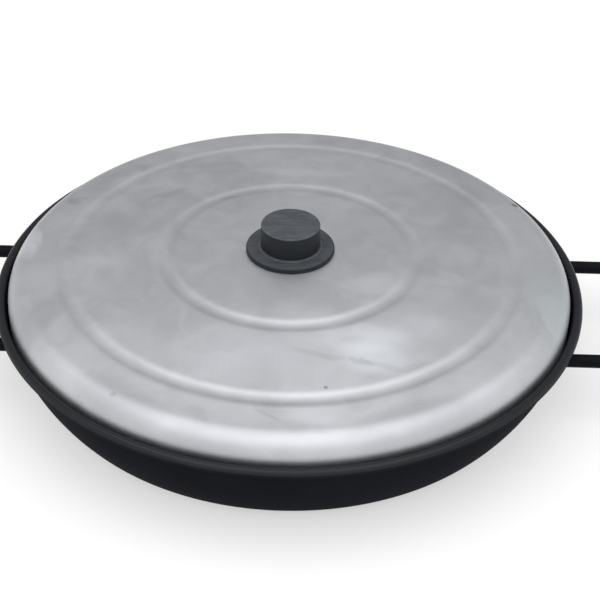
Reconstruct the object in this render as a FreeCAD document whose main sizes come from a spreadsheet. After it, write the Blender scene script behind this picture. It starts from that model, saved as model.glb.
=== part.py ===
"""Wide, shallow steel cooking pot with two bent-rod side handles, and a domed
aluminium lid that sits inside its rim and is lifted by a dark moulded knob.

Frame: millimetres, origin at the middle of the pan's underside, +Z up,
the two handles along +X and -X.
"""
import FreeCAD, Part
import math
import os

import Sketcher
from FreeCAD import Placement, Rotation, Vector

# Driving sizes, written once: name, value, what it measures.
SIZES = [
    ("rim_radius", 200.0, "axis to the outside of the pan's rolled edge"),
    ("pan_height", 60.75, "underside to the crest of the rolled edge"),
    ("pan_sheet", 1.5, "thickness of the pressed steel sheet"),
    ("wall_run", 39.0, "outside of the rim in to the edge of the flat floor"),
    ("corner_radius", 16.0, "outer radius between floor and wall"),
    ("wall_radius", 112.0, "outer radius of the bowed wall, seen in section"),
    ("bead_diameter", 6.5, "outside diameter of the rolled edge"),
    ("lip_gap", 0.3, "between the lip of the rolled edge and the wall"),
    ("rod_diameter", 9.0, "round bar of the handles"),
    ("leg_spacing", 112.0, "between the axes of a handle's two legs"),
    ("handle_height", 38.0, "underside of the pan to the axis of the bar"),
    ("handle_reach", 58.0, "from the rim out to the end of a handle"),
    ("handle_bend", 24.0, "radius of the bar's axis at its two bends"),
    ("root_depth", 45.0, "how far inside the rim the bar is drawn before coping"),
    ("weld_radius", 3.0, "hollow of the weld round each leg"),
    ("lid_gap", 2.0, "between the lid's skirt and the rolled edge"),
    ("lid_height", 35.4, "edge of the skirt to the seat of the knob"),
    ("lid_sheet", 1.2, "thickness of the aluminium sheet"),
    ("lid_clearance", 0.15, "between the lid's edge and the pan's wall"),
    ("dome_radius", 1700.0, "outer radius of the lid's dome"),
    ("shoulder_radius", 16.0, "outer radius between dome and skirt"),
    ("seat_radius", 32.0, "flat seat in the middle of the lid"),
    ("ring_inset", 37.0, "outside of the skirt in to the outer pressed ring"),
    ("ring_pitch", 68.5, "outer to inner pressed ring"),
    ("ring_depth", 0.8, "depth of the pressed rings"),
    ("ring_round", 20.0, "radius of the rings' hollow and of both edges"),
    ("disc_diameter", 60.0, "disc under the knob"),
    ("disc_thickness", 3.4, "edge of the disc"),
    ("disc_round", 1.0, "round on the disc's upper edge"),
    ("boss_diameter", 43.0, "raised middle of the disc"),
    ("boss_height", 0.7, "rise of the boss over the disc"),
    ("boss_round", 0.4, "round on the boss's edge"),
    ("knob_diameter", 40.0, "knob"),
    ("knob_height", 16.4, "knob over the disc"),
    ("knob_round", 0.9, "round on the knob's upper edge"),
    ("knob_chamfer", 0.5, "chamfer on the knob's lower edge"),
    ("insert_diameter", 8.0, "threaded brass insert in the knob"),
    ("insert_length", 10.0, "length of the insert"),
    ("key_depth", 0.6, "groove round the insert that keys it in the knob"),
    ("key_width", 2.0, "width of that groove"),
    ("screw_diameter", 5.0, "shank of the screw"),
    ("thread_gap", 0.05, "all round the shank in the insert"),
    ("hole_gap", 0.3, "all round the shank in lid, disc and washer"),
    ("tip_gap", 1.5, "insert left free beyond the tip of the screw"),
    ("head_diameter", 9.5, "head of the screw"),
    ("head_height", 3.2, "head of the screw"),
    ("head_round", 1.6, "round on the head"),
    ("slot_width", 1.2, "slot in the head"),
    ("slot_depth", 1.3, "slot in the head"),
    ("washer_diameter", 16.0, "washer under the lid"),
    ("washer_thickness", 1.2, "washer under the lid"),
]
SIZE = {name: value for name, value, _ in SIZES}

# Radii that follow from them: a larger radius, and what is taken off it.
INSETS = {
    "floor_radius": ("rim_radius", "wall_run"),
    "lid_radius": ("rim_radius", "bead_diameter", "lid_gap"),
    "outer_ring": ("lid_radius", "ring_inset"),
    "inner_ring": ("outer_ring", "ring_pitch"),
}
for name, (larger, *taken) in INSETS.items():
    SIZE[name] = SIZE[larger] - sum(SIZE[step] for step in taken)

START, END, CENTRE = range(1, 4)     # points of a line or an arc in a sketch
X_AXIS, Y_AXIS = range(-1, -3, -1)   # a sketch's own axes
ORIGIN = X_AXIS                      # its origin is the start of its X axis

doc = FreeCAD.newDocument("cooking_pot")
sheet = doc.addObject("Spreadsheet::Sheet", "sizes")
for row, (name, value, note) in enumerate(SIZES, 1):
    sheet.set(f"A{row}", name)
    sheet.set(f"B{row}", str(value))
    sheet.setAlias(f"B{row}", name)
    sheet.set(f"C{row}", note)
doc.recompute()


def cells(text):
    """An expression with each size's name turned into its cells of the sheet."""
    words = []
    for word in text.split():
        if word in INSETS:
            word = "( " + cells(" - ".join(INSETS[word])) + " )"
        elif word in SIZE:
            word = "sizes." + word
        words.append(word)
    return " ".join(words)


def bind(thing, **expressions):
    """Bind an object's properties to the sheet; a double underscore is a dot."""
    for name, text in expressions.items():
        thing.setExpression(name.replace("__", "."), cells(text))


class Outline:
    """A sketch that is drawn at its true size and then bound to the sheet."""

    def __init__(self, sketch):
        self.sketch = sketch

    def line(self, start, end):
        segment = Part.LineSegment(Vector(*start, 0), Vector(*end, 0))
        return self.sketch.addGeometry(segment, False)

    def arc(self, centre, radius, begin, end):
        """An arc that runs anticlockwise from one angle to another, in radians."""
        circle = Part.Circle(Vector(*centre, 0), Vector(0, 0, 1), radius)
        return self.sketch.addGeometry(Part.ArcOfCircle(circle, begin, end), False)

    def circle(self, centre, radius, construction=False):
        circle = Part.Circle(Vector(*centre, 0), Vector(0, 0, 1), radius)
        return self.sketch.addGeometry(circle, construction)

    def rule(self, kind, *parts):
        """A constraint that has no size, such as Tangent."""
        return self.sketch.addConstraint(Sketcher.Constraint(kind, *parts))

    def drawn(self, kind, parts):
        """What a sized constraint measures on the sketch as it is drawn."""
        if kind in ("Radius", "Diameter"):
            radius = self.sketch.Geometry[parts[0]].Radius
            return radius if kind == "Radius" else 2 * radius
        step = self.sketch.getPoint(*parts[2:]) - self.sketch.getPoint(*parts[:2])
        return {"DistanceX": step.x, "DistanceY": step.y, "Distance": step.Length}[kind]

    def size(self, kind, parts, expression):
        """A constraint whose size is an expression of the sheet's cells."""
        value = self.drawn(kind, parts)
        index = self.sketch.addConstraint(Sketcher.Constraint(kind, *parts, value))
        self.sketch.setExpression(f"Constraints[{index}]", cells(expression))

    def reading(self, name, kind, parts):
        """A reference size, which other objects read by its name."""
        value = self.drawn(kind, parts)
        index = self.sketch.addConstraint(Sketcher.Constraint(kind, *parts, value))
        self.sketch.setDriving(index, False)
        self.sketch.renameConstraint(index, name)


def new_body(name):
    body = doc.addObject("PartDesign::Body", name)
    body.Label = name
    return body


def body_sketch(body, name, role):
    """A sketch on one of a body's own origin planes."""
    sketch = body.newObject("Sketcher::SketchObject", name)
    plane = next(f for f in body.Origin.OriginFeatures if f.Role == role)
    sketch.AttachmentSupport = [(plane, "")]
    sketch.MapMode = "FlatFace"
    return Outline(sketch)


def section_sketch(name):
    """A sketch in the XZ plane for the section of a sheet that is turned about Z."""
    sketch = doc.addObject("Sketcher::SketchObject", name)
    sketch.Placement = Placement(Vector(), Rotation(Vector(1, 0, 0), 90))
    return Outline(sketch)


def turned_sheet(name, outline, thickness, side):
    """A sheet piece: its outline gets a thickness to one side, +1 or -1, and
    the strip is turned about Z."""
    strip = doc.addObject("Part::Offset2D", name + "_strip")
    strip.Source = outline.sketch
    strip.Mode = "Skin"
    strip.Join = "Arc"
    strip.Fill = True
    strip.Value = side * SIZE[thickness]
    bind(strip, Value=f"{side} * {thickness}")
    turned = doc.addObject("Part::Revolution", name)
    turned.Source = strip
    turned.Axis = Vector(0, 0, 1)
    turned.Angle = 360
    turned.Solid = True
    turned.Label = name
    return turned


# Pan

def wall_geometry(inset, bead):
    """Centre of the bowed wall in section, and its lowest and highest angle.

    The wall leaves the corner smoothly and runs smoothly into the rolled edge.
    The inset is how far this face lies inside the outer one, and bead is the
    radius of the rolled edge's face that it runs into.
    """
    corner = (SIZE["floor_radius"], SIZE["corner_radius"])
    half = SIZE["bead_diameter"] / 2
    edge = (SIZE["rim_radius"] - half, SIZE["pan_height"] - half)
    from_corner = SIZE["wall_radius"] - SIZE["corner_radius"]
    from_edge = SIZE["wall_radius"] - inset + bead
    span = math.dist(corner, edge)
    along = (from_corner ** 2 - from_edge ** 2 + span ** 2) / (2 * span)
    aside = math.sqrt(from_corner ** 2 - along ** 2)
    right, up = (edge[0] - corner[0]) / span, (edge[1] - corner[1]) / span
    centre = (corner[0] + along * right - aside * up, corner[1] + along * up + aside * right)
    low = math.atan2(corner[1] - centre[1], corner[0] - centre[0])
    high = math.atan2(edge[1] - centre[1], edge[0] - centre[0])
    return corner, edge, centre, low, high


def draw_wall(outline, inset, bead):
    """Floor, corner and wall of one face of the pan, from the axis outwards."""
    depth = SIZE.get(inset, 0.0)
    corner, _, centre, low, high = wall_geometry(depth, bead)
    floor = outline.line((0, depth), (corner[0], depth))
    bend = outline.arc(corner, SIZE["corner_radius"] - depth, -math.pi / 2, low)
    wall = outline.arc(centre, SIZE["wall_radius"] - depth, low, high)
    outline.rule("PointOnObject", floor, START, Y_AXIS)
    outline.rule("Horizontal", floor)
    if depth:
        outline.size("DistanceY", (ORIGIN, START, floor, START), inset)
    else:
        outline.rule("PointOnObject", floor, START, X_AXIS)
    outline.size("DistanceX", (floor, START, floor, END), "floor_radius")
    outline.rule("Tangent", floor, END, bend, START)
    outline.size("Radius", (bend,), f"corner_radius - {inset}")
    outline.rule("Tangent", bend, END, wall, START)
    outline.size("Radius", (wall,), f"wall_radius - {inset}")
    return floor, wall


def place_bead(outline, circle):
    """Put the centre of the rolled edge where rim and crest want it."""
    outline.size("DistanceX", (ORIGIN, START, circle, CENTRE),
                 "rim_radius - bead_diameter / 2")
    outline.size("DistanceY", (ORIGIN, START, circle, CENTRE),
                 "pan_height - bead_diameter / 2")


def make_pan():
    """Pressed sheet whose edge is rolled outwards into a hollow bead. The
    sketch is its inner face, which becomes the bead's outer face."""
    outline = section_sketch("pan_section")
    bead = SIZE["bead_diameter"] / 2
    _, wall = draw_wall(outline, "pan_sheet", bead)
    _, edge, centre, _, high = wall_geometry(SIZE["pan_sheet"], bead)
    span = math.dist(centre, edge)
    lip_reach = SIZE["wall_radius"] + SIZE["lip_gap"]
    opening = math.acos((span ** 2 + bead ** 2 - lip_reach ** 2) / (2 * span * bead))
    curl = outline.arc(edge, bead, high + opening - math.pi, high + math.pi)
    outline.rule("Tangent", wall, END, curl, END)
    outline.size("Radius", (curl,), "bead_diameter / 2")
    place_bead(outline, curl)
    outline.size("Distance", (wall, CENTRE, curl, START), "wall_radius + lip_gap")

    seat_reach = SIZE["lid_radius"] + SIZE["lid_clearance"]
    inner = SIZE["wall_radius"] - SIZE["pan_sheet"]
    seat_height = centre[1] - math.sqrt(inner ** 2 - (seat_reach - centre[0]) ** 2)
    seat = outline.sketch.addGeometry(Part.Point(Vector(seat_reach, seat_height, 0)), True)
    outline.rule("PointOnObject", seat, START, wall)
    outline.size("DistanceX", (ORIGIN, START, seat, START), "lid_radius + lid_clearance")
    outline.reading("lid_seat", "DistanceY", (ORIGIN, START, seat, START))
    return turned_sheet("pan", outline, "pan_sheet", -1)


# Handles

def make_envelope():
    """The space inside the pan's outer face, to which the legs are coped."""
    body = new_body("wall_envelope")
    outline = body_sketch(body, "envelope_section", "XZ_Plane")
    core = SIZE["bead_diameter"] / 2 - SIZE["pan_sheet"]
    floor, wall = draw_wall(outline, "0", core)
    _, edge, centre, _, high = wall_geometry(0.0, core)
    ring = outline.circle(edge, core, construction=True)
    outline.size("Radius", (ring,), "bead_diameter / 2 - pan_sheet")
    place_bead(outline, ring)
    outline.rule("Tangent", wall, ring)
    top = (centre[0] + SIZE["wall_radius"] * math.cos(high),
           centre[1] + SIZE["wall_radius"] * math.sin(high))
    cap = outline.line(top, (0, top[1]))
    axis = outline.line((0, top[1]), (0, 0))
    outline.rule("Coincident", wall, END, cap, START)
    outline.rule("Horizontal", cap)
    outline.rule("Coincident", cap, END, axis, START)
    outline.rule("Coincident", axis, END, floor, START)
    outline.rule("PointOnObject", axis, START, Y_AXIS)
    outline.size("DistanceY", (axis, END, axis, START), "pan_height - bead_diameter / 2")
    turned = body.newObject("PartDesign::Revolution", "envelope")
    turned.Profile = outline.sketch
    turned.ReferenceAxis = (outline.sketch, ["V_Axis"])
    turned.Angle = 360
    return body


def make_rod():
    """Round bar bent into a loop, with its legs drawn past the pan's wall."""
    body = new_body("handle_rod")
    rim = SIZE["rim_radius"]
    root = rim - SIZE["root_depth"]
    out = rim + SIZE["handle_reach"] - SIZE["rod_diameter"] / 2
    half = SIZE["leg_spacing"] / 2
    bend = SIZE["handle_bend"]
    path = body_sketch(body, "rod_path", "XY_Plane")
    leg = path.line((root, half), (out - bend, half))
    far_bend = path.arc((out - bend, half - bend), bend, 0, math.pi / 2)
    grip = path.line((out, half - bend), (out, bend - half))
    near_bend = path.arc((out - bend, bend - half), bend, -math.pi / 2, 0)
    near_leg = path.line((out - bend, -half), (root, -half))
    path.rule("Horizontal", leg)
    path.rule("Horizontal", near_leg)
    path.rule("Vertical", grip)
    path.rule("Tangent", leg, END, far_bend, END)
    path.rule("Tangent", far_bend, START, grip, START)
    path.rule("Tangent", grip, END, near_bend, END)
    path.rule("Tangent", near_bend, START, near_leg, START)
    path.rule("Equal", far_bend, near_bend)
    path.rule("Symmetric", leg, START, near_leg, END, X_AXIS)
    path.size("Radius", (far_bend,), "handle_bend")
    path.size("DistanceY", (near_leg, END, leg, START), "leg_spacing")
    path.size("DistanceX", (ORIGIN, START, leg, START), "rim_radius - root_depth")
    path.size("DistanceX", (ORIGIN, START, grip, START),
              "rim_radius + handle_reach - rod_diameter / 2")
    profile = body_sketch(body, "rod_section", "YZ_Plane")
    bind(profile.sketch, AttachmentOffset__Base__z="rim_radius - root_depth")
    bar = profile.circle((half, 0), SIZE["rod_diameter"] / 2)
    profile.rule("PointOnObject", bar, CENTRE, X_AXIS)
    profile.size("DistanceX", (ORIGIN, START, bar, CENTRE), "leg_spacing / 2")
    profile.size("Diameter", (bar,), "rod_diameter")
    pipe = body.newObject("PartDesign::AdditivePipe", "rod_pipe")
    pipe.Profile = profile.sketch
    pipe.Spine = (path.sketch, [])
    bind(body, Placement__Base__z="handle_height")
    return body


def weld_edges(shape):
    """Numbers of the edges where a handle's legs meet the pan's wall."""
    bar, rim = SIZE["rod_diameter"] / 2, SIZE["rim_radius"]
    found = []
    for number, edge in enumerate(shape.Edges, 1):
        surfaces = [face.Surface for face in shape.ancestorsOfType(edge, Part.Face)]
        on_bar = [surface for surface in surfaces
                  if isinstance(surface, Part.Cylinder) and abs(surface.Radius - bar) < 1e-4]
        middle = edge.CenterOfMass
        under_rim = math.hypot(middle.x, middle.y) < rim
        if under_rim and len(surfaces) == 2 and len(on_bar) == 1:
            found.append(number)
    return found


def make_handles(envelope):
    """Two handles: their legs end on the wall's outer face in a hollow weld."""
    joined = doc.addObject("Part::Fuse", "rod_on_wall")
    joined.Base = envelope
    joined.Tool = make_rod()
    doc.recompute()
    weld = SIZE["weld_radius"]
    welded = doc.addObject("Part::Fillet", "welded_rod")
    welded.Base = joined
    welded.Edges = [(number, weld, weld) for number in weld_edges(joined.Shape)]
    right = doc.addObject("Part::Cut", "right_handle")
    right.Base = welded
    right.Tool = envelope
    right.Label = "right_handle"
    left = doc.addObject("Part::Mirroring", "left_handle")
    left.Source = right
    left.Normal = Vector(1, 0, 0)
    left.Label = "left_handle"
    return [right, left]


# Lid

def ring_geometry(ring):
    """A pressed ring is a hollow between two rounded edges, all of one radius.

    Seen from the dome's centre: how far away the centres of the hollow and of
    the edges lie, the hollow's angle from the vertical, and the angle from
    there to each edge.
    """
    tool, dome = SIZE["ring_round"], SIZE["dome_radius"]
    hollow = dome - SIZE["ring_depth"] + tool
    edge = dome - tool
    middle = math.asin(SIZE[ring] / hollow)
    spread = math.acos((hollow ** 2 + edge ** 2 - (2 * tool) ** 2) / (2 * hollow * edge))
    return hollow, edge, middle, spread


def draw_ring(outline, panel, centre, ring, end):
    """A pressed ring after one panel of the dome, and the next panel as far
    as the angle end from the vertical."""
    tool = SIZE["ring_round"]
    hollow_reach, edge_reach, middle, spread = ring_geometry(ring)
    near_angle, far_angle = middle - spread, middle + spread
    hollow_centre, near_centre, far_centre = [
        (reach * math.sin(angle), centre[1] + reach * math.cos(angle))
        for reach, angle in ((hollow_reach, middle), (edge_reach, near_angle),
                             (edge_reach, far_angle))]
    near_lean, far_lean = [
        math.atan2(hollow_centre[1] - point[1], hollow_centre[0] - point[0])
        for point in (near_centre, far_centre)]
    near = outline.arc(near_centre, tool, near_lean, math.pi / 2 - near_angle)
    hollow = outline.arc(hollow_centre, tool, near_lean - math.pi, far_lean - math.pi)
    far = outline.arc(far_centre, tool, math.pi / 2 - far_angle, far_lean)
    following = outline.arc(centre, SIZE["dome_radius"], math.pi / 2 - end,
                            math.pi / 2 - far_angle)
    outline.rule("Tangent", panel, START, near, END)
    outline.rule("Tangent", near, START, hollow, START)
    outline.rule("Tangent", hollow, END, far, END)
    outline.rule("Tangent", far, START, following, END)
    for arc in (near, hollow, far):
        outline.size("Radius", (arc,), "ring_round")
    outline.rule("Coincident", following, CENTRE, panel, CENTRE)
    outline.rule("Equal", following, panel)
    outline.size("DistanceX", (ORIGIN, START, hollow, CENTRE), ring)
    outline.size("Distance", (panel, CENTRE, hollow, CENTRE),
                 "dome_radius - ring_depth + ring_round")
    return following


def make_lid():
    """Spun sheet: flat seat, dome with two pressed rings, shoulder and skirt.
    The sketch is its outer face, from the screw's hole to the skirt's edge."""
    outline = section_sketch("lid_section")
    dome, seat, top = SIZE["dome_radius"], SIZE["seat_radius"], SIZE["lid_height"]
    shoulder, skirt = SIZE["shoulder_radius"], SIZE["lid_radius"]
    hole = SIZE["screw_diameter"] / 2 + SIZE["hole_gap"]
    centre = (0.0, top - math.sqrt(dome ** 2 - seat ** 2))
    last_angle = math.asin((skirt - shoulder) / (dome - shoulder))
    bend_centre = (skirt - shoulder, centre[1] + (dome - shoulder) * math.cos(last_angle))
    first_end, second_end = [middle - spread for _, _, middle, spread in
                             (ring_geometry("inner_ring"), ring_geometry("outer_ring"))]

    flat = outline.line((hole, top), (seat, top))
    panel = outline.arc(centre, dome, math.pi / 2 - first_end,
                        math.pi / 2 - math.asin(seat / dome))
    outline.rule("Horizontal", flat)
    outline.rule("Coincident", flat, END, panel, END)
    outline.rule("PointOnObject", panel, CENTRE, Y_AXIS)
    outline.size("DistanceY", (ORIGIN, START, flat, START), "lid_height")
    outline.size("DistanceX", (ORIGIN, START, flat, START), "screw_diameter / 2 + hole_gap")
    outline.size("DistanceX", (ORIGIN, START, flat, END), "seat_radius")
    outline.size("Radius", (panel,), "dome_radius")
    panel = draw_ring(outline, panel, centre, "inner_ring", second_end)
    panel = draw_ring(outline, panel, centre, "outer_ring", last_angle)
    bend = outline.arc(bend_centre, shoulder, 0, math.pi / 2 - last_angle)
    side = outline.line((skirt, bend_centre[1]), (skirt, 0))
    outline.rule("Tangent", panel, START, bend, END)
    outline.rule("Tangent", bend, START, side, START)
    outline.rule("Vertical", side)
    outline.rule("PointOnObject", side, END, X_AXIS)
    outline.size("Radius", (bend,), "shoulder_radius")
    outline.size("DistanceX", (ORIGIN, START, side, END), "lid_radius")
    lid = turned_sheet("lid", outline, "lid_sheet", -1)
    bind(lid, Placement__Base__z="pan_section.Constraints.lid_seat")
    return lid


# Knob and its fastening

def standing_body(name, height):
    """A body whose own origin is at a height over the edge of the lid's skirt."""
    body = new_body(name)
    bind(body, Placement__Base__z=f"pan_section.Constraints.lid_seat + 1 mm * ( {height} )")
    return body


def disc_sketch(body, name, diameter, height):
    """A circle round the body's axis, at a height in the body."""
    outline = body_sketch(body, name, "XY_Plane")
    bind(outline.sketch, AttachmentOffset__Base__z=height)
    circle = outline.circle((0, 0), 1.0)
    outline.rule("Coincident", circle, CENTRE, ORIGIN, START)
    outline.size("Diameter", (circle,), diameter)
    return outline.sketch


def grow(body, name, diameter, height, length):
    """A round pad from a height upwards."""
    pad = body.newObject("PartDesign::Pad", name)
    pad.Profile = disc_sketch(body, name + "_circle", diameter, height)
    bind(pad, Length=length)
    return pad


def bore(body, name, diameter, height, length):
    """A round pocket from a height upwards."""
    pocket = body.newObject("PartDesign::Pocket", name)
    pocket.Profile = disc_sketch(body, name + "_circle", diameter, height)
    pocket.Reversed = True
    bind(pocket, Length=length)
    return pocket


def round_edges(shape, radius, height):
    """Names of the circular edges of one radius at one height in a body."""
    return [f"Edge{number}" for number, edge in enumerate(shape.Edges, 1)
            if isinstance(edge.Curve, Part.Circle)
            and abs(edge.Curve.Radius - radius) < 1e-4
            and abs(edge.Curve.Center.z - height) < 1e-4]


def dress(body, kind, name, radius, height, sizes):
    """A fillet or a chamfer on one circular edge of the body's last feature."""
    doc.recompute()
    base = body.Tip
    edge = body.newObject("PartDesign::" + kind, name)
    edge.Base = (base, round_edges(base.Shape, radius, height))
    bind(edge, **sizes)
    return edge


def make_disc():
    """Moulded disc that keeps the fingers off the lid, with a raised middle."""
    body = standing_body("knob_disc", "lid_height")
    grow(body, "disc_plate", "disc_diameter", "0", "disc_thickness")
    grow(body, "disc_boss", "boss_diameter", "0", "disc_thickness + boss_height")
    edge_height = SIZE["disc_thickness"]
    dress(body, "Fillet", "disc_edge", SIZE["disc_diameter"] / 2, edge_height,
          {"Radius": "disc_round"})
    dress(body, "Fillet", "boss_edge", SIZE["boss_diameter"] / 2,
          edge_height + SIZE["boss_height"], {"Radius": "boss_round"})
    bore(body, "disc_hole", "screw_diameter + 2 * hole_gap", "0",
         "disc_thickness + boss_height")
    return body


def make_knob():
    """Moulded knob, solid but for the pocket that holds its insert."""
    body = standing_body("knob", "lid_height + disc_thickness + boss_height")
    grow(body, "knob_barrel", "knob_diameter", "0", "knob_height")
    dress(body, "Fillet", "knob_top_edge", SIZE["knob_diameter"] / 2,
          SIZE["knob_height"], {"Radius": "knob_round"})
    dress(body, "Chamfer", "knob_foot_edge", SIZE["knob_diameter"] / 2, 0.0,
          {"Size": "knob_chamfer"})
    bore(body, "insert_pocket", "insert_diameter - 2 * key_depth", "0", "insert_length")
    bore(body, "insert_foot", "insert_diameter", "0",
         "insert_length / 2 - key_width / 2")
    bore(body, "insert_head", "insert_diameter", "insert_length / 2 + key_width / 2",
         "insert_length / 2 - key_width / 2")
    return body


def make_insert():
    """Brass insert moulded into the knob, keyed by a groove round its middle."""
    body = standing_body("knob_insert", "lid_height + disc_thickness + boss_height")
    grow(body, "insert_core", "insert_diameter - 2 * key_depth", "0", "insert_length")
    grow(body, "insert_lower_collar", "insert_diameter", "0",
         "insert_length / 2 - key_width / 2")
    grow(body, "insert_upper_collar", "insert_diameter",
         "insert_length / 2 + key_width / 2", "insert_length / 2 - key_width / 2")
    bore(body, "insert_thread", "screw_diameter + 2 * thread_gap", "0", "insert_length")
    return body


def make_washer():
    """Plain washer against the lid's underside."""
    body = standing_body("knob_washer", "lid_height - lid_sheet - washer_thickness")
    grow(body, "washer_plate", "washer_diameter", "0", "washer_thickness")
    bore(body, "washer_hole", "screw_diameter + 2 * hole_gap", "0", "washer_thickness")
    return body


def make_screw():
    """Slotted round-head screw, driven up from inside the lid."""
    body = standing_body("knob_screw",
                         "lid_height - lid_sheet - washer_thickness - head_height")
    grow(body, "screw_head", "head_diameter", "0", "head_height")
    dress(body, "Fillet", "screw_head_edge", SIZE["head_diameter"] / 2, 0.0,
          {"Radius": "head_round"})
    grow(body, "screw_shank", "screw_diameter", "0",
         "head_height + washer_thickness + lid_sheet + disc_thickness + boss_height"
         " + insert_length - tip_gap")
    slot = body_sketch(body, "slot_section", "XY_Plane")
    reach, half = SIZE["head_diameter"], SIZE["slot_width"] / 2
    corners = [(-reach, -half), (reach, -half), (reach, half), (-reach, half)]
    sides = [slot.line(a, b) for a, b in zip(corners, corners[1:] + corners[:1])]
    for first, second in zip(sides, sides[1:] + sides[:1]):
        slot.rule("Coincident", first, END, second, START)
    for side, kind in zip(sides, ("Horizontal", "Vertical") * 2):
        slot.rule(kind, side)
    slot.rule("Symmetric", sides[0], START, sides[1], END, ORIGIN, START)
    slot.size("DistanceX", (sides[0], START, sides[0], END), "2 * head_diameter")
    slot.size("DistanceY", (sides[1], START, sides[1], END), "slot_width")
    cut = body.newObject("PartDesign::Pocket", "screw_slot")
    cut.Profile = slot.sketch
    cut.Reversed = True
    bind(cut, Length="slot_depth")
    return body


# Build, check and write

def write_pieces(pieces):
    """Stop on any failed object or shape, then write one file a piece."""
    doc.recompute()
    failed = [thing.Name for thing in doc.Objects
              if "Invalid" in thing.State or "Error" in thing.State]
    if failed:
        raise RuntimeError("objects that failed: " + ", ".join(failed))
    for piece in pieces:
        if piece.Shape.isNull() or not piece.Shape.isValid():
            raise RuntimeError(piece.Label + " has no valid shape")
    os.makedirs("parts", exist_ok=True)
    for piece in pieces:
        piece.Shape.exportStep(f"parts/{piece.Label}.step")
        print(f"{piece.Label:14s} {len(piece.Shape.Solids)} solid, "
              f"{piece.Shape.Volume / 1000:9.3f} cubic centimetres")


pan = make_pan()
lid = make_lid()
handles = make_handles(make_envelope())
fastening = [make_disc(), make_knob(), make_insert(), make_washer(), make_screw()]
write_pieces([pan, lid, *handles, *fastening])
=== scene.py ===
"""A wide, shallow cooking pot: black steel pan, satin aluminium lid, dark knob."""

import math

import bpy
from mathutils import Matrix, Vector


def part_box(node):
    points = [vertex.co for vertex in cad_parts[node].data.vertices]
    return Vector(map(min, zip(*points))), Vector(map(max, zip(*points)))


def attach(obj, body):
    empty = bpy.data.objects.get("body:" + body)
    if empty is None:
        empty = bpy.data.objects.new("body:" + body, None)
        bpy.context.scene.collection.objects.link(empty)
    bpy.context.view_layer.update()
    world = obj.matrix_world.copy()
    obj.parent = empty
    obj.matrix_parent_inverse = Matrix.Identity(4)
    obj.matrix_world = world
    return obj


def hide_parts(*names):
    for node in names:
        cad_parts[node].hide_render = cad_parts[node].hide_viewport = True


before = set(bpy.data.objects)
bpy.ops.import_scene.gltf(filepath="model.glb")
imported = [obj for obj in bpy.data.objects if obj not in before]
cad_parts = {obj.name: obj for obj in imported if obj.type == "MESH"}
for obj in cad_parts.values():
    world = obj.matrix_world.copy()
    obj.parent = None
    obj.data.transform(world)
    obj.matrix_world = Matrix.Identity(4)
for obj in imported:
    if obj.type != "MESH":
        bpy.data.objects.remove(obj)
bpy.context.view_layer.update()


# The pan. Pressed from one round of steel sheet, its edge rolled outwards into
# a hollow bead, then baked near-black. Like every turned piece here it is a
# section, in millimetres from the axis and up, that is turned round the axis.

class Value:
    """The output of a node. Arithmetic on it adds Math nodes."""

    def __init__(self, graph, socket):
        self.graph, self.socket = graph, socket

    def __add__(self, other):
        return self.graph.math("ADD", self, other)

    def __sub__(self, other):
        return self.graph.math("SUBTRACT", self, other)

    def __mul__(self, other):
        return self.graph.math("MULTIPLY", self, other)

    def __truediv__(self, other):
        return self.graph.math("DIVIDE", self, other)

    def __radd__(self, other):
        return self.graph.math("ADD", other, self)

    def __rsub__(self, other):
        return self.graph.math("SUBTRACT", other, self)

    def __rmul__(self, other):
        return self.graph.math("MULTIPLY", other, self)

    def __rtruediv__(self, other):
        return self.graph.math("DIVIDE", other, self)


class Graph:
    """A node tree, of a shape or of a finish, and the way to add to it."""

    def __init__(self, tree):
        self.tree = tree

    def add(self, kind, settings, values, output=0):
        """Add a node, set it up, then give its sockets values or links."""
        node = self.tree.nodes.new(kind)
        for name, setting in settings.items():
            setattr(node, name, setting)
        for name, value in values.items():
            self.feed(node.inputs[name], value)
        return Value(self, node.outputs[output])

    def feed(self, socket, value):
        if isinstance(value, Value):
            self.tree.links.new(value.socket, socket)
        else:
            socket.default_value = value

    def math(self, operation, *values):
        return self.add("ShaderNodeMath", {"operation": operation}, dict(enumerate(values)))

    def blend(self, share, base, other):
        """One colour over another, by a share from 0 to 1."""
        factor, first, second, result = 0, 6, 7, 2
        return self.add("ShaderNodeMix", {"data_type": "RGBA"}, {
            factor: share, first: base, second: other}, result)


class Finish(Graph):
    """A material: constants on the shader's own sockets, nodes for the rest."""

    def __init__(self, name, **constants):
        self.material = bpy.data.materials.new(name)
        self.material.use_nodes = True
        super().__init__(self.material.node_tree)
        self.shader = self.tree.nodes["Principled BSDF"]
        for socket, value in constants.items():
            self.shader.inputs[socket.replace("_", " ")].default_value = value
        self.place = self.add("ShaderNodeTexCoord", {}, {}, "Object")

    def along(self, axis):
        """Where a point lies along an axis of the pot, in millimetres."""
        return self.add("ShaderNodeSeparateXYZ", {}, {"Vector": self.place}, axis) * 1000

    def noise(self, scale, detail=3.0, roughness=0.5, place=None, distortion=0.0):
        return self.add("ShaderNodeTexNoise", {}, {
            "Vector": place or self.place, "Scale": scale, "Detail": detail,
            "Roughness": roughness, "Distortion": distortion})

    def span(self, value, low, high):
        """From 0 at a value's low mark smoothly to 1 at its high mark."""
        return self.add("ShaderNodeMapRange", {"interpolation_type": "SMOOTHSTEP"}, {
            "Value": value, "From Min": low, "From Max": high})

    def bump(self, height, distance, strength=1.0):
        """Relief: height 0 to 1 over a distance in metres."""
        return self.add("ShaderNodeBump", {}, {
            "Height": height, "Distance": distance, "Strength": strength})

    def wear(self, socket, value):
        """Let a value that changes over the surface drive a shader's socket."""
        self.feed(self.shader.inputs[socket], value)


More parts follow.
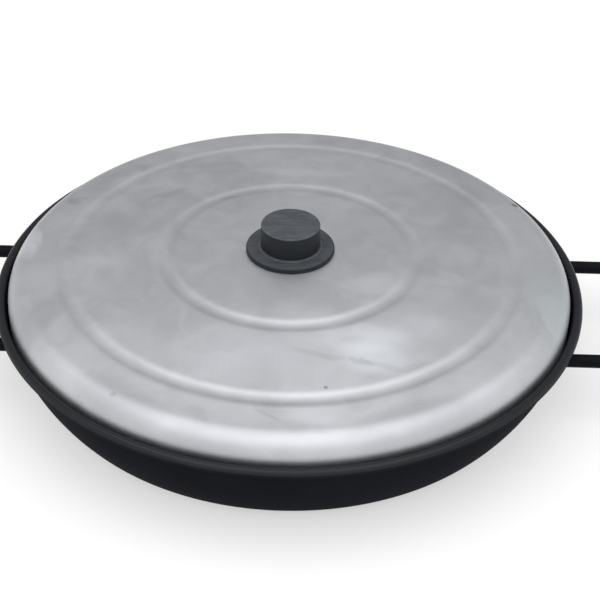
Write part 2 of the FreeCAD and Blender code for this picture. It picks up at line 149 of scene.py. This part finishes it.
def turning_tree():
    """Turns a section round Z: rows follow the section, columns go round."""
    weld_within = 1e-6
    tree = bpy.data.node_groups.new("turned_section", "GeometryNodeTree")
    sockets = tree.interface
    sockets.new_socket("Section", in_out="INPUT", socket_type="NodeSocketGeometry")
    sockets.new_socket("Columns", in_out="INPUT", socket_type="NodeSocketInt")
    sockets.new_socket("Crease", in_out="INPUT", socket_type="NodeSocketFloat")
    sockets.new_socket("Finish", in_out="INPUT", socket_type="NodeSocketMaterial")
    sockets.new_socket("Piece", in_out="OUTPUT", socket_type="NodeSocketGeometry")
    graph = Graph(tree)
    section, columns, crease, finish = [
        graph.add("NodeGroupInput", {}, {}, name) for name in ("Section", "Columns", "Crease", "Finish")]
    rows = graph.add("GeometryNodeAttributeDomainSize", {"component": "MESH"},
                     {"Geometry": section}, "Point Count")
    around = columns + 1
    grid = graph.add("GeometryNodeMeshGrid", {}, {"Vertices X": rows, "Vertices Y": around})
    index = graph.add("GeometryNodeInputIndex", {}, {})
    row = graph.math("FLOOR", (index + 0.5) / around)
    column = index - row * around
    outline = graph.add("GeometryNodeInputPosition", {}, {})
    point = graph.add("GeometryNodeSampleIndex", {"data_type": "FLOAT_VECTOR"}, {
        "Geometry": section, "Value": outline, "Index": row})
    turned = graph.add("ShaderNodeVectorRotate", {"rotation_type": "Z_AXIS"}, {
        "Vector": point, "Angle": column * (2 * math.pi) / columns})
    shell = graph.add("GeometryNodeSetPosition", {}, {"Geometry": grid, "Position": turned})
    closed = graph.add("GeometryNodeMergeByDistance", {}, {"Geometry": shell, "Distance": weld_within})
    bend = graph.add("GeometryNodeInputMeshEdgeAngle", {}, {}, "Unsigned Angle")
    soft = graph.add("GeometryNodeSetShadeSmooth", {"domain": "FACE"}, {"Geometry": closed})
    creased = graph.add("GeometryNodeSetShadeSmooth", {"domain": "EDGE"}, {
        "Geometry": soft, "Selection": graph.math("GREATER_THAN", bend, crease),
        "Shade Smooth": False})
    whole = graph.add("GeometryNodeRealizeInstances", {}, {"Geometry": creased})
    dressed = graph.add("GeometryNodeSetMaterial", {}, {"Geometry": whole, "Material": finish})
    graph.feed(tree.nodes.new("NodeGroupOutput").inputs[0], dressed)
    return tree


turning = turning_tree()


def turned_piece(name, section, finish, node, columns=360):
    """Turn a section into a closed mesh that stands for a node of the model."""
    crease = math.radians(35)
    points = [(x / 1000, 0.0, z / 1000) for x, z in section]
    outline = bpy.data.meshes.new(name + "_section")
    outline.from_pydata(points, [(k, k + 1) for k in range(len(points) - 1)], [])
    piece = bpy.data.objects.new(name, outline)
    bpy.context.scene.collection.objects.link(piece)
    step = piece.modifiers.new("turn", "NODES")
    step.node_group = turning
    named = {item.name: item.identifier for item in turning.interface.items_tree}
    step[named["Columns"]] = columns
    step[named["Crease"]] = crease
    step[named["Finish"]] = finish.material
    made = piece.evaluated_get(bpy.context.evaluated_depsgraph_get())
    piece.data = bpy.data.meshes.new_from_object(made)
    piece.modifiers.remove(step)
    bpy.data.meshes.remove(outline)
    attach(piece, "root")
    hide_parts(node)


def arc(centre, radius, begin, end, steps):
    """Points of a section along an arc, from one angle to another in degrees."""
    angles = [math.radians(begin + (end - begin) * k / steps) for k in range(steps + 1)]
    return [(centre[0] + radius * math.cos(a), centre[1] + radius * math.sin(a)) for a in angles]


rim, pan_height, pan_sheet = 200.0, 60.75, 1.5
floor_rows, floor_edge, corner = (0.0, 60.0, 120.0), 161.0, 16.0
bowed, bead, curl = 112.0, 3.25, 336.0
corner_centre = (floor_edge, corner)
bead_centre = (rim - bead, pan_height - bead)
from_corner, from_bead = bowed - corner, bowed - pan_sheet + bead
apart = math.dist(corner_centre, bead_centre)
ahead = (from_corner ** 2 - from_bead ** 2 + apart ** 2) / (2 * apart)
aside = math.sqrt(from_corner ** 2 - ahead ** 2)
right, up = [(b - a) / apart for a, b in zip(corner_centre, bead_centre)]
wall_centre = (floor_edge + ahead * right - aside * up, corner + ahead * up + aside * right)
wall_low, wall_high = [math.degrees(math.atan2(end[1] - wall_centre[1], end[0] - wall_centre[0]))
                       for end in (corner_centre, bead_centre)]


def pan_face(depth):
    """One face of the sheet, from the axis out to the lip of the bead."""
    begin = wall_high + 180
    face = [(row, depth) for row in floor_rows]
    face += arc(corner_centre, corner - depth, -90, wall_low, 14)
    face += arc(wall_centre, bowed - depth, wall_low, wall_high, 22)[1:]
    return face + arc(bead_centre, bead - pan_sheet + depth, begin, begin - curl, 36)[1:]


baked_black = Finish("baked_black_steel", Specular_IOR_Level=0.03)
cloud = baked_black.noise(14.0, 4.0, 0.6)
grain = baked_black.noise(900.0, 2.0, 0.6)
on_bead = baked_black.span(baked_black.along("Z"), pan_height - 3.95, pan_height - 1.55)
tone = baked_black.span(cloud, 0.35, 0.65)
shade = baked_black.blend(tone, (0.0042, 0.0046, 0.0072, 1), (0.0070, 0.0075, 0.0104, 1))
# The bead's upper half is painted lighter: partly rubbed wear, partly a painted highlight along its top.
baked_black.wear("Base Color", baked_black.blend(on_bead * 0.6, shade, (0.016, 0.017, 0.020, 1)))
baked_black.wear("Roughness", 0.64 + grain * 0.12 + tone * 0.06 - on_bead * 0.3)
baked_black.wear("Coat Weight", on_bead * 0.3)
baked_black.wear("Normal", baked_black.bump(grain, 0.00004, 0.5))
turned_piece("pan_shell", pan_face(0.0) + pan_face(pan_sheet)[::-1],
             baked_black, "pan")


# The handles. Round steel bar, bent into a loop and welded to the wall at its
# two legs, with a smoother baked black finish. Their own meshes stay.

black_bar = Finish("baked_black_bar", Specular_IOR_Level=0.06)
rub = black_bar.noise(60.0, 4.0, 0.6)
pits = black_bar.noise(1400.0, 2.0, 0.6)
black_bar.wear("Base Color", black_bar.blend(
    black_bar.span(rub, 0.4, 0.7), (0.0034, 0.0037, 0.0060, 1), (0.0060, 0.0063, 0.0090, 1)))
black_bar.wear("Roughness", 0.45 + rub * 0.2)
black_bar.wear("Normal", black_bar.bump(pits, 0.00004, 0.5))
for node in ("right_handle", "left_handle"):
    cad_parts[node].data.materials.clear()
    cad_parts[node].data.materials.append(black_bar.material)


# The lid. Spun from aluminium sheet: flat seat for the knob, shallow dome with
# two pressed rings, round shoulder, upright skirt. Satin, clouded and stained
# by use, with painted highlight and painted shade on its front. It lies loose
# in the pan, its edge on the bowed wall.

lid_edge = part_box("lid")[0].z * 1000
lid_sheet, lid_radius, lid_height, skirt = 1.2, 191.5, 35.4, 5.0
lid_top = lid_edge + lid_height
hole, seat_row, seat, dome, shoulder = 2.8, 18.0, 32.0, 1700.0, 16.0
inner_ring, outer_ring, ring_round, ring_depth = 86.0, 154.5, 20.0, 0.8
dome_centre = (0.0, lid_top - math.sqrt(dome ** 2 - seat ** 2))


def dome_arc(depth, begin, end, steps):
    """The dome's face between two angles from the vertical, in radians."""
    return arc(dome_centre, dome - depth, 90 - math.degrees(begin), 90 - math.degrees(end), steps)


def ring_angles(radius):
    """Angles from the vertical of a ring's inner edge, hollow and outer edge."""
    hollow, edge = dome - ring_depth + ring_round, dome - ring_round
    middle = math.asin(radius / hollow)
    spread = math.acos((hollow ** 2 + edge ** 2 - 4 * ring_round ** 2) / (2 * hollow * edge))
    return middle - spread, middle, middle + spread


def ring_arcs(depth, radius):
    """A pressed ring: rounded edge, hollow, rounded edge."""
    near, middle, far = ring_angles(radius)

    def at(reach, angle):
        return reach * math.sin(angle), dome_centre[1] + reach * math.cos(angle)

    hollow = at(dome - ring_depth + ring_round, middle)
    edges = [at(dome - ring_round, angle) for angle in (near, far)]
    leans = [math.degrees(math.atan2(hollow[1] - z, hollow[0] - x)) for x, z in edges]
    points = arc(edges[0], ring_round - depth, 90 - math.degrees(near), leans[0], 8)
    points += arc(hollow, ring_round + depth, leans[0] - 180, leans[1] - 180, 12)
    points += arc(edges[1], ring_round - depth, leans[1], 90 - math.degrees(far), 8)
    return points


def lid_face(depth):
    """One face of the lid's sheet, from the screw's hole to the skirt's edge."""
    last = math.asin((lid_radius - shoulder) / (dome - shoulder))
    inner, outer = ring_angles(inner_ring), ring_angles(outer_ring)
    bend = (lid_radius - shoulder, dome_centre[1] + (dome - shoulder) * math.cos(last))
    face = [(hole, lid_top - depth), (seat_row, lid_top - depth)]
    face += dome_arc(depth, math.asin(seat / dome), inner[0], 10)
    face += ring_arcs(depth, inner_ring)
    face += dome_arc(depth, inner[2], outer[0], 12)
    face += ring_arcs(depth, outer_ring)
    face += dome_arc(depth, outer[2], last, 8)
    face += arc(bend, shoulder - depth, 90 - math.degrees(last), 0, 12)[1:]
    return face + [(lid_radius - depth, lid_edge + skirt), (lid_radius - depth, lid_edge)]


satin = Finish("satin_aluminium", Metallic=1.0, Anisotropic=0.08, Anisotropic_Rotation=0.25)
clouds = satin.noise(11.0, 3.0, 0.55, distortion=0.6)
wisps = satin.noise(38.0, 4.0, 0.6, distortion=1.0)
grain = satin.noise(1600.0, 2.0, 0.5)
waver = 26.0
steady = satin.along("X"), satin.along("Y")
wavy = steady[0] + (wisps - 0.5) * waver, steady[1] + (clouds - 0.5) * waver


def marks(place, *spots):
    """Soft-edged spots on the lid, added up. Each has its x, y, length, width,
    turn and strength, in millimetres and degrees."""
    total = 0.0
    for x, y, length, width, turn, strength in spots:
        cosine, sine = math.cos(math.radians(turn)), math.sin(math.radians(turn))
        u, v = place[0] - x, place[1] - y
        u, v = (u * cosine + v * sine) / length, (v * cosine - u * sine) / width
        total = total + satin.span(u * u + v * v, 1.0, 0.0) * strength
    return total


wiped = marks(wavy, (50, -93, 36, 17, -6, 0.45))
wiped += marks(steady, (54, -112, 27, 19, -5, 0.65), (58, -88, 26, 12, 0, 0.3))
# Pale patches: partly a whitish film on the metal, partly painted highlight and painted reflection on
# the front of the dome and its shoulder.
film_and_highlight = marks(
    wavy, (92, -78, 30, 16, 0, 0.3), (12, -108, 95, 52, 0, 0.25), (20, -162, 22, 11, 10, 0.3),
    (-48, -158, 34, 10, -10, 0.2), (-45, -112, 65, 28, 0, 0.15), (111, -139, 34, 14, 30, 0.12),
    (53, -37, 30, 16, 20, 0.3), (-128, -13, 28, 15, 0, 0.3), (105, -3, 10, 14, 0, 0.2),
    (-88, -6, 9, 24, 0, 0.2), (-90, 152, 16, 9, 0, 0.3), (-4, 112, 48, 8, 0, 0.3),
    (-181, 14, 10, 28, 8, 0.9), (175, -52, 11, 34, 0, 0.3))
film_and_highlight += marks(steady, (75, -96, 30, 20, 0, 0.2))
# Dark marks: the first group are stains and soot on the metal.
stains_and_shade = marks(
    wavy, (-158, 69, 9, 7, 0, 0.35), (-140, 93, 18, 9, 30, 0.15), (-90, 74, 26, 6, 25, 0.2),
    (-130, 111, 30, 9, 38, 0.2), (-54, -174, 14, 13, 0, 0.12), (-79, 0, 4, 16, 0, 0.15),
    (91, -16, 12, 13, 0, 0.07), (164, -58, 4, 18, 8, 0.1), (-70, 120, 40, 5, 8, 0.12))
# Painted shade: dull patches over the front shoulder and near the edge, toning down the highlight there.
stains_and_shade += marks(
    steady, (78, -162, 52, 15, 24, 0.3), (-97, -150, 42, 14, -33, 0.22),
    (-160, -80, 14, 44, -25, 0.18), (5, -180, 95, 12, 0, 0.17))
scratch = marks(
    wavy, (22, -108, 24, 4.0, -12, 0.4), (47, -114, 12, 4.5, -28, 0.6),
    (62, -119, 15, 4.0, -14, 0.4), (80, -117, 15, 3.5, 28, 0.25))
scratch += marks(steady, (-8, -166, 13, 1.8, -32, 0.5), (-46, 69.5, 10, 2.6, 22, 0.7))
specks = marks(
    steady, (25.7, -141.2, 1.9, 1.8, 0, 0.45), (161.5, 81.5, 3.4, 2.6, 0, 0.7),
    (-101.7, -148.6, 3.0, 2.4, 0, 0.2))
dulled = marks(wavy, (174, -38, 18, 62, 0, 0.4))
tone = satin.span(clouds * 0.6 + wisps * 0.4, 0.34, 0.66)
tint = satin.blend(tone, (0.487, 0.495, 0.520, 1), (0.572, 0.581, 0.607, 1))
tint = satin.blend(film_and_highlight, tint, (0.64, 0.66, 0.70, 1))
tint = satin.blend(wiped, tint, (0.76, 0.78, 0.82, 1))
tint = satin.blend(dulled, tint, (0.51, 0.57, 0.58, 1))
tint = satin.blend(stains_and_shade, tint, (0.25, 0.255, 0.275, 1))
tint = satin.blend(scratch * 0.42, tint, (0.24, 0.245, 0.26, 1))
satin.wear("Base Color", satin.blend(specks, tint, (0.03, 0.03, 0.03, 1)))
satin.wear("Roughness", 0.44 + wisps * 0.08 + grain * 0.03 + film_and_highlight * 0.06)
satin.wear("Normal", satin.bump(clouds + wisps * 0.15 - scratch * 0.02, 0.0005))
outer_face, inner_face = lid_face(0.0), lid_face(lid_sheet)
turned_piece("lid_shell", inner_face + outer_face[::-1] + inner_face[:1],
             satin, "lid")


# The disc under the knob. Moulded phenolic, with a slightly raised middle that
# the knob stands on. Screwed to the lid together with the knob.

disc, disc_edge, disc_round = 30.0, 3.4, 1.0
boss, boss_rise, boss_round, knob = 21.5, 0.7, 0.4, 20.0
disc_base, knob_base, knob_top = [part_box(node)[end].z * 1000 for node, end in (
    ("knob_disc", 0), ("knob", 0), ("knob", 1))]
phenolic = Finish("moulded_phenolic", Specular_IOR_Level=0.22)
mottle = phenolic.noise(160.0, 4.0, 0.65)
fine = phenolic.noise(1500.0, 2.0, 0.5)
side, front, rise = [phenolic.along(axis) for axis in ("X", "Y", "Z")]
reach = phenolic.math("SQRT", side * side + front * front)
stretched = phenolic.add("ShaderNodeMapping", {}, {
    "Vector": phenolic.place, "Rotation": (0, 0, -0.12), "Scale": (0.14, 1, 1)})
streaks = phenolic.noise(330.0, 3.0, 0.65, stretched)
shade = phenolic.blend(phenolic.span(mottle * 0.35 + streaks * 0.65, 0.36, 0.64),
                       (0.044, 0.050, 0.058, 1), (0.070, 0.076, 0.085, 1))
# Painted shade: the knob's upright side is painted much darker than its top.
flank_shade = phenolic.span(rise, knob_base - 0.2, knob_base + 0.6)
flank_shade *= phenolic.span(rise, knob_top - 0.2, knob_top - 1.4)
shade = phenolic.blend(flank_shade * 0.9, shade, (0.007, 0.009, 0.012, 1))
# Painted shade: the disc, below the knob, is painted a quarter darker.
disc_shade = phenolic.span(rise, knob_base + 0.3, knob_base - 0.4)
shade = phenolic.blend(disc_shade * 0.25, shade, (0.012, 0.014, 0.018, 1))
# Painted shade: the disc's rounded edge and side are painted near-black.
disc_side_shade = phenolic.span(reach, disc - 1.0, disc - 0.2)
shade = phenolic.blend(disc_side_shade * 0.85, shade, (0.006, 0.007, 0.010, 1))
# Painted highlight: a light ring on the boss's round. The knob's top edge is painted lighter, partly
# rubbed wear and partly painted highlight.
boss_highlight = phenolic.span(reach, boss - 0.8, boss - 0.2) * phenolic.span(reach, boss + 0.4, boss + 0.1)
knob_rim = phenolic.span(reach, knob - 1.1, knob - 0.6)
knob_rim *= phenolic.span(rise, knob_top - 0.8, knob_top - 0.3)
wear_and_highlight = boss_highlight * (mottle - 0.15) + knob_rim * mottle * 0.4
phenolic.wear("Base Color", phenolic.blend(wear_and_highlight, shade, (0.115, 0.122, 0.130, 1)))
phenolic.wear("Roughness", 0.46 + fine * 0.12)
phenolic.wear("Normal", phenolic.bump(fine, 0.00005, 0.5))
disc_top = disc_base + disc_edge
disc_face = [(hole, disc_base), (disc, disc_base)]
disc_face += arc((disc - disc_round, disc_top - disc_round), disc_round, 0, 90, 8)
disc_face += [(boss, disc_top)]
disc_face += arc((boss - boss_round, disc_top + boss_rise - boss_round), boss_round, 0, 90, 5)
disc_face += [(hole, disc_top + boss_rise), (hole, disc_base)]
turned_piece("knob_disc_moulding", disc_face, phenolic, "knob_disc", columns=200)


# The knob. A moulded cylinder with a flat top and a small round at its edge,
# and a pocket below that holds the threaded insert.

pocket, pocket_top, key, key_low, key_high = 4.0, 10.0, 0.6, 4.0, 6.0
foot, knob_round, knob_row = 0.5, 0.9, 10.0
pocket_face = [(0.0, pocket_top), (pocket, pocket_top), (pocket, key_high), (pocket - key, key_high),
               (pocket - key, key_low), (pocket, key_low), (pocket, 0.0)]
knob_face = [(x, knob_base + z) for x, z in pocket_face + [(knob - foot, 0.0), (knob, foot)]]
knob_face += arc((knob - knob_round, knob_top - knob_round), knob_round, 0, 90, 8)
knob_face += [(knob_row, knob_top), (0.0, knob_top)]
turned_piece("knob_moulding", knob_face, phenolic, "knob", columns=160)


# Insert, screw and washer. A turned brass insert in the knob, and a zinc-plated
# screw with its washer that comes up from inside the lid.

brass = Finish("turned_brass", Metallic=1.0)
brass.wear("Base Color", brass.blend(
    brass.noise(500.0), (0.56, 0.40, 0.17, 1), (0.66, 0.49, 0.23, 1)))
brass.wear("Roughness", 0.3 + brass.noise(900.0) * 0.2)
zinc = Finish("zinc_plated_steel", Metallic=1.0)
zinc.wear("Base Color", zinc.blend(
    zinc.noise(400.0), (0.48, 0.48, 0.50, 1), (0.60, 0.60, 0.60, 1)))
zinc.wear("Roughness", 0.32 + zinc.noise(700.0) * 0.2)
for node, finish in (("knob_insert", brass), ("knob_screw", zinc), ("knob_washer", zinc)):
    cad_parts[node].data.materials.clear()
    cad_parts[node].data.materials.append(finish.material)


# The pale floor and the light. A wide soft lamp overhead, and a pale surround
# that darkens behind the pot. The floor shows white and keeps the pot's shadow.

floor_reach, glow_share, lamp_glow = 80.0, 0.5, 1.18
floor_corners = [(x * floor_reach, y * floor_reach, 0) for x, y in ((-1, -1), (1, -1), (1, 1), (-1, 1))]
floor_mesh = bpy.data.meshes.new("floor")
floor_mesh.from_pydata(floor_corners, [], [(0, 1, 2, 3)])
floor = bpy.data.objects.new("floor", floor_mesh)
bpy.context.scene.collection.objects.link(floor)
paper = Finish("white_floor", Base_Color=(0.86, 0.86, 0.86, 1), Roughness=0.9,
               Specular_IOR_Level=0.1)
camera_ray, glossy_ray, passing_ray = [paper.add("ShaderNodeLightPath", {}, {}, ray) for ray in (
    "Is Camera Ray", "Is Glossy Ray", "Is Transmission Ray")]
seen = paper.math("MAXIMUM", camera_ray, paper.math("MAXIMUM", glossy_ray, passing_ray))
glow = paper.add("ShaderNodeEmission", {}, {"Color": (1, 1, 1, 1), "Strength": 1.0})
mixed = paper.add("ShaderNodeMixShader", {}, {
    0: seen * glow_share, 1: Value(paper, paper.shader.outputs[0]), 2: glow})
paper.feed(paper.tree.nodes["Material Output"].inputs["Surface"], mixed)
floor_mesh.materials.append(paper.material)

world = bpy.data.worlds.new("surround")
bpy.context.scene.world = world
world.use_nodes = True
air = Graph(world.node_tree)
gaze = air.add("ShaderNodeTexCoord", {}, {}, "Generated")
behind = air.add("ShaderNodeSeparateXYZ", {}, {"Vector": gaze}, "Y")
strength = air.add("ShaderNodeMapRange", {}, {
    "Value": behind, "From Min": 0.98, "From Max": 0.0, "To Min": 0.35, "To Max": 1.08})
sky = air.add("ShaderNodeBackground", {}, {"Color": (1, 1, 1, 1), "Strength": strength})
air.feed(air.tree.nodes["World Output"].inputs["Surface"], sky)

lamp_data = bpy.data.lights.new("overhead_softbox", "AREA")
lamp_data.shape = "RECTANGLE"
lamp_data.size, lamp_data.size_y = 2.2, 2.0
lamp_data.energy = lamp_glow * math.pi * lamp_data.size * lamp_data.size_y
lamp = bpy.data.objects.new("overhead_softbox", lamp_data)
lamp.location = (0.0, -0.45, 1.5)
bpy.context.scene.collection.objects.link(lamp)


# The camera, at the photograph's distance and angle.

turn, tilt, roll, distance = math.radians(0.73), math.radians(35.32), math.radians(1.2), 1.0
aim = Vector((0.0073, 0.0, 0.0415))
focal_pixels, picture_pixels, sensor = 1435, 600, 36.0
back = Vector((math.sin(turn) * math.cos(tilt), -math.cos(turn) * math.cos(tilt), math.sin(tilt)))
lens = bpy.data.cameras.new("camera")
lens.sensor_width, lens.lens = sensor, focal_pixels * sensor / picture_pixels
camera = bpy.data.objects.new("camera", lens)
bpy.context.scene.collection.objects.link(camera)
stance = back.to_track_quat("Z", "Y").to_matrix() @ Matrix.Rotation(roll, 3, "Z")
camera.matrix_world = Matrix.Translation(aim + distance * back) @ stance.to_4x4()
bpy.context.scene.camera = camera
bpy.context.scene.view_settings.view_transform = "Standard"
